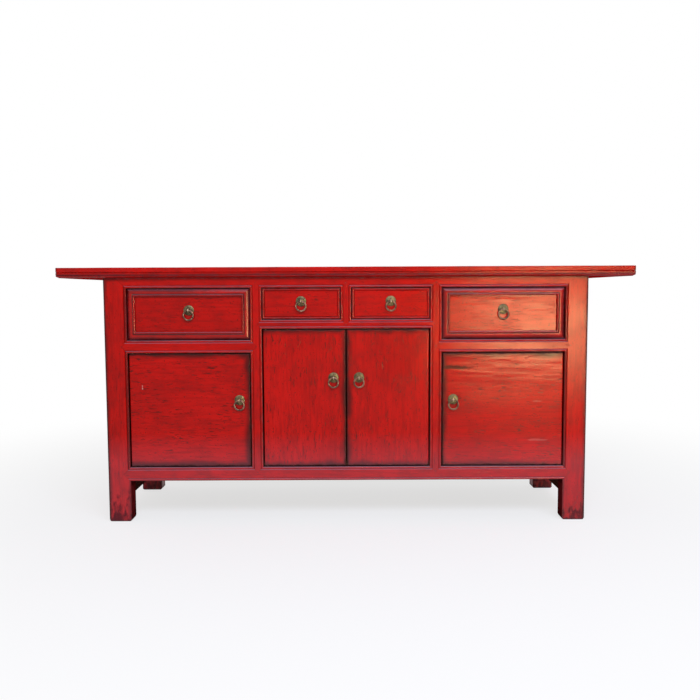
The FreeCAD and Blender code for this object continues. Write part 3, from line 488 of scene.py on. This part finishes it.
def upright_wood(node):
    """Gives a CAD piece bare wood with upright grain, and leaves its mesh as it is."""
    slot = frame["nodes"][node].material_slots[0]
    slot.link = "OBJECT"
    slot.material = wood_upright


for node in ("back_frame", "top_bearers", "drawer_runners", "floor_boards", "door_stops"):
    planed_wood(node)
for node in ("back_panels", "partitions"):
    upright_wood(node)


# Top: one thick softwood plank, moulded with bands and a bead along its front and ends, let down over
# tenons on the legs. Its lacquer is rubbed thin on the bands, and it sank into the matt end grain.
DOWNWARDS = -0.9
# The top's edge darkening is partly handling and partly a painted dark reflection along its moulded front.
top_lacquer = red_lacquer(
    "red lacquer on top", ACROSS, edge=(9.0, 0.6), rim=("#5a2a34", 0.25, 4.4), nicked=0.6, gloss=0.14
)
matt_lacquer = red_lacquer("thin matt red lacquer under the top and on its ends", ACROSS, gloss=0.0)
worn_wood(
    "top_board",
    top_lacquer,
    matt_lacquer,
    lambda face: face.normal.z < DOWNWARDS or abs(face.normal.x) > FACING,
    shade_behind_front=False,
)


# Drawers: a lacquered front board dovetailed to bare sides and back, with a loose floor. The large ones
# have a mitred moulding pinned round the face, the small ones a bead worked on the board itself.
# A thin dark mark under the right drawer's pull, painted as the shade in a dent.
dent_shade = ((522, 659, 20, 2.5, "#6a130c", 0.7),)
board_lacquer = red_lacquer(
    "red lacquer on drawer fronts", ACROSS, edge=(9.0, 0.5), nicked=0.7, ripple=(0.8, 0), scars=dent_shade
)
# Mouldings: outer slopes darkened and hollows darkened wide, partly grime and partly painted shade. Their pale rim
# and upward faces also stand for a painted highlight and sheen.
moulding_lacquer = red_lacquer(
    "red lacquer on mouldings",
    ACROSS,
    edge=(17.0, 0.85),
    rim=("#6a3a44", 0.3, 4.4),
    waxy_dirt_and_shade=(0.8, 4.6),
    gloss=0.22,
    brushed=0.02,
    dust_and_sheen=0.35,
)
for place in ("left", "right", "centre_left", "centre_right"):
    worn_wood(f"drawer_{place}_front", board_lacquer, wood_across, faces_back)
    planed_wood(f"drawer_{place}_box")
for place in ("left", "right"):
    worn_wood(f"drawer_{place}_moulding", moulding_lacquer, wood_across, faces_back, shade_behind_front=False)


# Doors: slabs of two or three boards held flat by dovetailed battens, hung on wooden pivots. The outer
# pair has its grain across, the centre pair upright.
DOOR_WAVER = 0.6 * MM
# Doors: the wide edge darkening and the dark rim are handling, and painted shade in the openings round the doors.
handled = {"edge": (24.0, 0.85), "rim": ("#2c100c", 0.85, 7.0), "nicked": 0.85}
left_scars = ((-681, 454, 3.4, 10, "#cf9c8c", 0.85),)
right_scars = (
    (360, 519, 48, 8, "#3a0a05", 0.85),
    (634, 405, 30, 3, "#c98a7c", 0.16),
    (647, 274, 46, 3, "#c98a7c", 0.22),
)
outer_lacquer = red_lacquer("red lacquer on the left door", ACROSS, scars=left_scars, **handled)
rippled_lacquer = red_lacquer(
    "red lacquer on the right door", ACROSS, ripple=(1.5, 500), scars=right_scars, **handled
)
centre_lacquer = red_lacquer("red lacquer on centre doors", UPWARDS, **handled)
for place, finish, wood in (
    ("left", outer_lacquer, wood_across),
    ("right", rippled_lacquer, wood_across),
    ("centre_left", centre_lacquer, wood_upright),
    ("centre_right", centre_lacquer, wood_upright),
):
    worn_wood(f"door_{place}_panel", finish, wood, faces_back, soften=EASED, waver=DOOR_WAVER)
    for part in ("battens", "pivots"):
        upright_wood(f"door_{place}_{part}")


# Ring pulls: a domed plate, a staple driven through it and clinched behind the board, and a cast ring
# that hangs in the staple's eye. Brass, dulled brown and green by years of hands.
PLATE_WIDE, PLATE_CROWN = 35 * MM, 3 * MM
EYE_OUT, EYE_MID, EYE_WIRE = 9.5 * MM, 4.8 * MM, 3.4 * MM
NECK_RADIUS, NECK_LONG, NECK_OUT = 2.2 * MM, 4 * MM, 0.6 * MM
CLINCH_WIDE, CLINCH_THICK, CLINCH_LONG = 4.4 * MM, 1.6 * MM, 34 * MM
RING_WIDE, RING_WIRE = 38 * MM, 5.8 * MM
PLATE_DENTS, RING_DENTS, DENT_DEEP = 12 * MM, 14 * MM, 0.5 * MM
SKIN_PATCH, SKIN_DEEP = 9 * MM, 0.2 * MM
PLATE_SEED, FIRST_RING_SEED, RING_SEED = 3.7, 40, 2.3


def aged_brass(name, dull, rubbed):
    """Cast brass with a brown-green skin: rubbed where fingers take hold of it, dull elsewhere."""
    material, tree = blank_material(name)
    where = add(tree, "ShaderNodeTexCoord").outputs["Object"]
    patches = {"Vector": where, "Scale": 1 / SKIN_PATCH, "Detail": 4.0}
    skin = add(tree, "ShaderNodeTexNoise", patches).outputs["Fac"]
    metal = add(tree, "ShaderNodeValToRGB", {"Fac": skin})
    metal.color_ramp.elements[0].position = 0.36
    metal.color_ramp.elements[0].color = linear(dull)
    metal.color_ramp.elements[1].position = 0.66
    metal.color_ramp.elements[1].color = linear(rubbed)
    normal = add(tree, "ShaderNodeBump", {"Height": skin, "Distance": SKIN_DEEP}).outputs["Normal"]
    cast = {"Base Color": metal.outputs["Color"], "Metallic": 0.75, "Roughness": 0.48, "Normal": normal}
    surface = add(tree, "ShaderNodeBsdfPrincipled", cast)
    add(tree, "ShaderNodeOutputMaterial", {"Surface": surface.outputs["BSDF"]})
    return material


def node_tree(name, sizes):
    """Empty tree of geometry nodes with a named input for each size, and its first and last node."""
    tree = bpy.data.node_groups.new(name, "GeometryNodeTree")
    for size, kind in sizes.items():
        tree.interface.new_socket(size, in_out="INPUT", socket_type=kind)
    tree.interface.new_socket("Geometry", in_out="OUTPUT", socket_type="NodeSocketGeometry")
    return tree, add(tree, "NodeGroupInput").outputs, add(tree, "NodeGroupOutput")


def wire_loop(tree, radius, wire, steps):
    """Ring of round wire in the XY plane. steps are the counts along the ring and round the wire."""
    half = add(tree, "ShaderNodeMath", {0: wire, 1: 0.5}, operation="MULTIPLY").outputs[0]
    loop = add(tree, "GeometryNodeCurvePrimitiveCircle", {"Resolution": steps[0], "Radius": radius})
    section = add(tree, "GeometryNodeCurvePrimitiveCircle", {"Resolution": steps[1], "Radius": half})
    swept = {"Curve": loop.outputs["Curve"], "Profile Curve": section.outputs["Curve"]}
    return add(tree, "GeometryNodeCurveToMesh", swept).outputs[0]


def hammered(tree, geometry, point, given, dents):
    """Geometry made uneven as by a hammer, with dents this wide, then put in its place and made real."""
    blows = {"Vector": point, "W": given["Seed"], "Scale": 1 / dents}
    hammer = add(tree, "ShaderNodeTexNoise", blows, noise_dimensions="4D").outputs["Color"]
    level = add(tree, "ShaderNodeVectorMath", {0: hammer, 1: (0.5, 0.5, 0.5)}, operation="SUBTRACT")
    uneven = add(tree, "ShaderNodeVectorMath", {0: level.outputs[0], "Scale": DENT_DEEP}, operation="SCALE")
    beaten = add(tree, "GeometryNodeSetPosition", {"Geometry": geometry, "Offset": uneven.outputs[0]})
    moved = {"Geometry": beaten.outputs[0], "Translation": given["Middle"]}
    placed = add(tree, "GeometryNodeTransform", moved)
    smooth = add(tree, "GeometryNodeSetShadeSmooth", {"Geometry": placed.outputs[0]})
    return add(tree, "GeometryNodeRealizeInstances", {"Geometry": smooth.outputs[0]}).outputs[0]


def baked(name, tree, sizes):
    """Plain mesh object of what a tree makes from these sizes."""
    piece = bpy.data.objects.new(name, bpy.data.meshes.new(name))
    bpy.context.scene.collection.objects.link(piece)
    modifier = piece.modifiers.new("made", "NODES")
    modifier.node_group = tree
    for item in tree.interface.items_tree:
        if item.name in sizes:
            modifier[item.identifier] = sizes[item.name]
    seen = piece.evaluated_get(bpy.context.evaluated_depsgraph_get())
    mesh = bpy.data.meshes.new_from_object(seen)
    piece.modifiers.clear()
    piece.data = mesh
    return piece


plate_brass = aged_brass("aged brass, dull plates", "#3f3524", "#6f6345")
# The staple eyes are a paler brass, a painted highlight where they catch the light.
eye_brass_highlight = aged_brass("aged brass, staple eyes paler as a painted highlight", "#8f7d60", "#d8c8a6")
# The rings' brass is pink-brown: its own aged tone, and partly a painted reflection of the red lacquer.
ring_brass_red_reflection = aged_brass("aged brass, handled rings", "#4c352b", "#8e6a58")
plate_tree, given, end = node_tree(
    "plate and staple",
    {
        "Middle": "NodeSocketVector",
        "Board": "NodeSocketFloat",
        "Plate width": "NodeSocketFloat",
        "Crown": "NodeSocketFloat",
        "Eye out": "NodeSocketFloat",
        "Eye radius": "NodeSocketFloat",
        "Eye wire": "NodeSocketFloat",
        "Seed": "NodeSocketFloat",
    },
)
half_plate = add(plate_tree, "ShaderNodeMath", {0: given["Plate width"], 1: 0.5}, operation="MULTIPLY")
half_plate = half_plate.outputs[0]
ball = add(plate_tree, "GeometryNodeMeshUVSphere", {"Segments": 40, "Rings": 24, "Radius": 1.0})
swell = add(plate_tree, "ShaderNodeCombineXYZ", {"X": half_plate, "Y": given["Crown"], "Z": half_plate})
swollen = {"Geometry": ball.outputs["Mesh"], "Scale": swell.outputs[0]}
lens = add(plate_tree, "GeometryNodeTransform", swollen)
point = add(plate_tree, "GeometryNodeInputPosition").outputs[0]
parts = add(plate_tree, "ShaderNodeSeparateXYZ", {"Vector": point}).outputs
front_only = add(plate_tree, "ShaderNodeMath", {0: parts["Y"], 1: 0.0}, operation="MINIMUM").outputs[0]
flat = add(plate_tree, "ShaderNodeCombineXYZ", {"X": parts["X"], "Y": front_only, "Z": parts["Z"]})
flattened = {"Geometry": lens.outputs[0], "Position": flat.outputs[0]}
plate = add(plate_tree, "GeometryNodeSetPosition", flattened)
eye = wire_loop(plate_tree, given["Eye radius"], given["Eye wire"], (28, 12))
outwards = add(plate_tree, "ShaderNodeMath", {0: given["Eye out"], 1: -1.0}, operation="MULTIPLY").outputs[0]
eye_place = add(plate_tree, "ShaderNodeCombineXYZ", {"Y": outwards}).outputs[0]
turned = {"Geometry": eye, "Translation": eye_place, "Rotation": (0.0, math.pi / 2, 0.0)}
turned_eye = add(plate_tree, "GeometryNodeTransform", turned)
neck_size = {"Vertices": 16, "Radius": NECK_RADIUS, "Depth": NECK_LONG}
neck = add(plate_tree, "GeometryNodeMeshCylinder", neck_size).outputs["Mesh"]
neck_place = add(plate_tree, "ShaderNodeCombineXYZ", {"Y": -PLATE_CROWN - NECK_OUT}).outputs[0]
turned = {"Geometry": neck, "Translation": neck_place, "Rotation": (math.pi / 2, 0.0, 0.0)}
turned_neck = add(plate_tree, "GeometryNodeTransform", turned)
clinch_size = {"Size": (CLINCH_WIDE, CLINCH_THICK, CLINCH_LONG), "Vertices Z": 9}
clinch = add(plate_tree, "GeometryNodeMeshCube", clinch_size).outputs["Mesh"]
behind = {0: given["Board"], 1: CLINCH_THICK / 2}
clinch_in = add(plate_tree, "ShaderNodeMath", behind, operation="ADD").outputs[0]
clinch_place = add(plate_tree, "ShaderNodeCombineXYZ", {"Y": clinch_in}).outputs[0]
clinched = add(plate_tree, "GeometryNodeTransform", {"Geometry": clinch, "Translation": clinch_place})
whole = add(plate_tree, "GeometryNodeJoinGeometry")
for made in (plate, turned_eye, turned_neck, clinched):
    plate_tree.links.new(made.outputs[0], whole.inputs[0])
real = hammered(plate_tree, whole.outputs[0], point, given, PLATE_DENTS)
dulled = add(plate_tree, "GeometryNodeSetMaterial", {"Geometry": real, "Material": plate_brass})
from_middle = add(plate_tree, "ShaderNodeVectorMath", {0: point, 1: given["Middle"]}, operation="SUBTRACT")
from_face = add(plate_tree, "ShaderNodeSeparateXYZ", {"Vector": from_middle.outputs[0]}).outputs["Y"]
# The eye is picked out here for the paler brass, a painted highlight.
rubbed = add(plate_tree, "ShaderNodeMath", {0: from_face, 1: outwards}, operation="LESS_THAN").outputs[0]
eye_only = {"Geometry": dulled.outputs[0], "Selection": rubbed, "Material": eye_brass_highlight}
finished = add(plate_tree, "GeometryNodeSetMaterial", eye_only)
plate_tree.links.new(finished.outputs[0], end.inputs[0])

ring_tree, given, end = node_tree(
    "ring",
    {
        "Middle": "NodeSocketVector",
        "Ring radius": "NodeSocketFloat",
        "Ring wire": "NodeSocketFloat",
        "Seed": "NodeSocketFloat",
    },
)
hoop = wire_loop(ring_tree, given["Ring radius"], given["Ring wire"], (56, 16))
turned = {"Geometry": hoop, "Rotation": (math.pi / 2, 0.0, 0.0)}
upright = add(ring_tree, "GeometryNodeTransform", turned).outputs[0]
point = add(ring_tree, "GeometryNodeInputPosition").outputs[0]
real = hammered(ring_tree, upright, point, given, RING_DENTS)
finished = add(ring_tree, "GeometryNodeSetMaterial", {"Geometry": real, "Material": ring_brass_red_reflection})
ring_tree.links.new(finished.outputs[0], end.inputs[0])

pins = {joint["child"]: Vector(joint["pos_m"]) for joint in frame["joints"] if "pos_m" in joint}
places = ("left", "right", "centre_left", "centre_right")
for number, thing in enumerate(f"{kind}_{place}" for kind in ("drawer", "door") for place in places):
    pin = pins[f"{thing}_pull_ring"]
    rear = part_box(f"{thing}_pull_plate")[1].y
    face = pin.y + EYE_OUT
    plate = baked(
        f"{thing}_pull_plate_brass",
        plate_tree,
        {
            "Middle": (pin.x, face, pin.z),
            "Board": rear - face - CLINCH_THICK,
            "Plate width": PLATE_WIDE,
            "Crown": PLATE_CROWN,
            "Eye out": EYE_OUT,
            "Eye radius": EYE_MID,
            "Eye wire": EYE_WIRE,
            "Seed": number * PLATE_SEED,
        },
    )
    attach(plate, thing)
    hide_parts(f"{thing}_pull_plate")
    radius = (RING_WIDE - RING_WIRE) / 2
    ring = baked(
        f"{thing}_pull_ring_brass",
        ring_tree,
        {
            "Middle": (pin.x, pin.y, pin.z - radius),
            "Ring radius": radius,
            "Ring wire": RING_WIRE,
            "Seed": FIRST_RING_SEED + number * RING_SEED,
        },
    )
    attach(ring, f"{thing}_pull_ring")
    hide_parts(f"{thing}_pull_ring")


# Stage: a plain pale floor that turns to white away from the cabinet, and a white room.
# The floor is matt paper, so it takes a soft shadow.
scene = bpy.context.scene
scene.view_settings.view_transform = "Standard"
FLOOR_HALF = 30.0
FADE_NEAR, FADE_FAR, FADE_LEAST = 0.4, 2.6, 0.68
ROOM_LIGHT = 0.4
WHITE = (1.0, 1.0, 1.0, 1.0)


def looked_at(tree):
    """Whether a ray shows the surface itself or its reflection, and doesn't carry its light to others."""
    rays = add(tree, "ShaderNodeLightPath").outputs
    seen = {0: rays["Is Camera Ray"], 1: rays["Is Glossy Ray"]}
    seen = {0: add(tree, "ShaderNodeMath", seen, operation="ADD").outputs[0], 1: rays["Is Transmission Ray"]}
    return add(tree, "ShaderNodeMath", seen, operation="ADD", use_clamp=True).outputs[0]


paper, tree = blank_material("matt white paper")
where = add(tree, "ShaderNodeTexCoord").outputs["Object"]
away = add(tree, "ShaderNodeVectorMath", {0: where}, operation="LENGTH").outputs["Value"]
limits = {"From Min": FADE_NEAR, "From Max": FADE_FAR, "To Min": FADE_LEAST, "To Max": 1.0}
far = add(tree, "ShaderNodeMapRange", {"Value": away, **limits}, interpolation_type="SMOOTHSTEP")
faded = {0: far.outputs["Result"], 1: looked_at(tree)}
fade = add(tree, "ShaderNodeMath", faded, operation="MULTIPLY", use_clamp=True).outputs[0]
matt = add(tree, "ShaderNodeBsdfDiffuse", {"Color": linear("#f1f0ee")})
white = add(tree, "ShaderNodeEmission", {"Color": WHITE, "Strength": 1.0})
mixed = add(tree, "ShaderNodeMixShader", {0: fade, 1: matt.outputs[0], 2: white.outputs[0]})
add(tree, "ShaderNodeOutputMaterial", {"Surface": mixed.outputs[0]})
floor_mesh = bpy.data.meshes.new("floor")
corners = [(x * FLOOR_HALF, y * FLOOR_HALF, 0.0) for x, y in ((-1, -1), (1, -1), (1, 1), (-1, 1))]
floor_mesh.from_pydata(corners, [], [(0, 1, 2, 3)])
floor_mesh.materials.append(paper)
floor = bpy.data.objects.new("floor", floor_mesh)
scene.collection.objects.link(floor)

world = bpy.data.worlds.new("white room")
world.use_nodes = True
scene.world = world
tree = world.node_tree
tree.nodes.clear()
lit = {"Value": looked_at(tree), "To Min": ROOM_LIGHT, "To Max": 1.0}
level = add(tree, "ShaderNodeMapRange", lit).outputs["Result"]
room = add(tree, "ShaderNodeBackground", {"Color": WHITE, "Strength": level})
add(tree, "ShaderNodeOutputWorld", {"Surface": room.outputs[0]})


# Studio light: a large cool softbox above and in front, and a low warm panel to the right, brightest
# in its middle, whose reflection lies on the right leg, drawer and door.
SOFTBOX_PLACE, SOFTBOX_TARGET = Vector((0.7, -3.0, 2.7)), Vector((0.0, -0.1, 0.4))
softbox = bpy.data.lights.new("softbox overhead", "AREA")
softbox.shape = "RECTANGLE"
softbox.size = 3.4
softbox.size_y = 1.1
softbox.energy = 122.0
softbox.color = linear("#dfe6ff")[:3]
stand = bpy.data.objects.new("softbox overhead", softbox)
stand.location = SOFTBOX_PLACE
stand.rotation_euler = (SOFTBOX_TARGET - SOFTBOX_PLACE).to_track_quat("-Z", "Y").to_euler()
stand.visible_camera = False
scene.collection.objects.link(stand)

PANEL_LOW, PANEL_HIGH = Vector((0.5, -4.0, 0.02)), Vector((2.7, -4.0, 1.0))
PANEL_GLOW = 58.0
glow, tree = blank_material("lit cloth panel")
where = add(tree, "ShaderNodeTexCoord").outputs["Object"]
parts = add(tree, "ShaderNodeSeparateXYZ", {"Vector": where}).outputs
power = PANEL_GLOW
along = ((0.0, 0.0), (0.12, 0.04), (0.37, 1.0), (0.56, 1.0), (0.7, 0.72), (1.0, 0.0))
upwards = ((0.0, 0.4), (0.2, 0.55), (0.32, 0.72), (0.45, 1.0), (0.6, 0.78), (0.85, 0.4), (1.0, 0.0))
for axis, low, high, levels in (
    ("X", PANEL_LOW.x, PANEL_HIGH.x, along),
    ("Z", PANEL_LOW.z, PANEL_HIGH.z, upwards),
):
    share = add(tree, "ShaderNodeMapRange", {"Value": parts[axis], "From Min": low, "From Max": high})
    ramp = add(tree, "ShaderNodeValToRGB", {"Fac": share.outputs["Result"]})
    ramp.color_ramp.interpolation = "EASE"
    for place, level in levels[1:-1]:
        ramp.color_ramp.elements.new(place)
    for stop, (place, level) in zip(ramp.color_ramp.elements, levels):
        stop.position = place
        stop.color = (level, level, level, 1.0)
    faded = {0: power, 1: ramp.outputs["Color"]}
    power = add(tree, "ShaderNodeMath", faded, operation="MULTIPLY").outputs[0]
light = add(tree, "ShaderNodeEmission", {"Color": linear("#f0e2a4"), "Strength": power})
add(tree, "ShaderNodeOutputMaterial", {"Surface": light.outputs[0]})
panel_mesh = bpy.data.meshes.new("warm panel")
ends = ((PANEL_LOW, PANEL_LOW), (PANEL_LOW, PANEL_HIGH), (PANEL_HIGH, PANEL_HIGH), (PANEL_HIGH, PANEL_LOW))
corners = [(across.x, PANEL_LOW.y, up.z) for across, up in ends]
panel_mesh.from_pydata(corners, [], [(0, 1, 2, 3)])
panel_mesh.materials.append(glow)
panel = bpy.data.objects.new("warm panel", panel_mesh)
panel.visible_camera = False
panel.visible_diffuse = False
scene.collection.objects.link(panel)


# Camera at the photograph's place: in front of the middle, a little below the top, tilted down.
CAMERA_PLACE = Vector((0.013, -2.744, 0.774))
CAMERA_DIP, CAMERA_LEAN = math.radians(4.42), math.radians(-0.25)
lens = bpy.data.cameras.new("camera")
lens.lens = 39.0
lens.sensor_width = 36.0
camera = bpy.data.objects.new("camera", lens)
tilt = Matrix.Rotation(math.pi / 2 - CAMERA_DIP, 4, "X")
lean = Matrix.Rotation(CAMERA_LEAN, 4, "Z")
camera.matrix_world = Matrix.Translation(CAMERA_PLACE) @ tilt @ lean
scene.collection.objects.link(camera)
scene.camera = camera
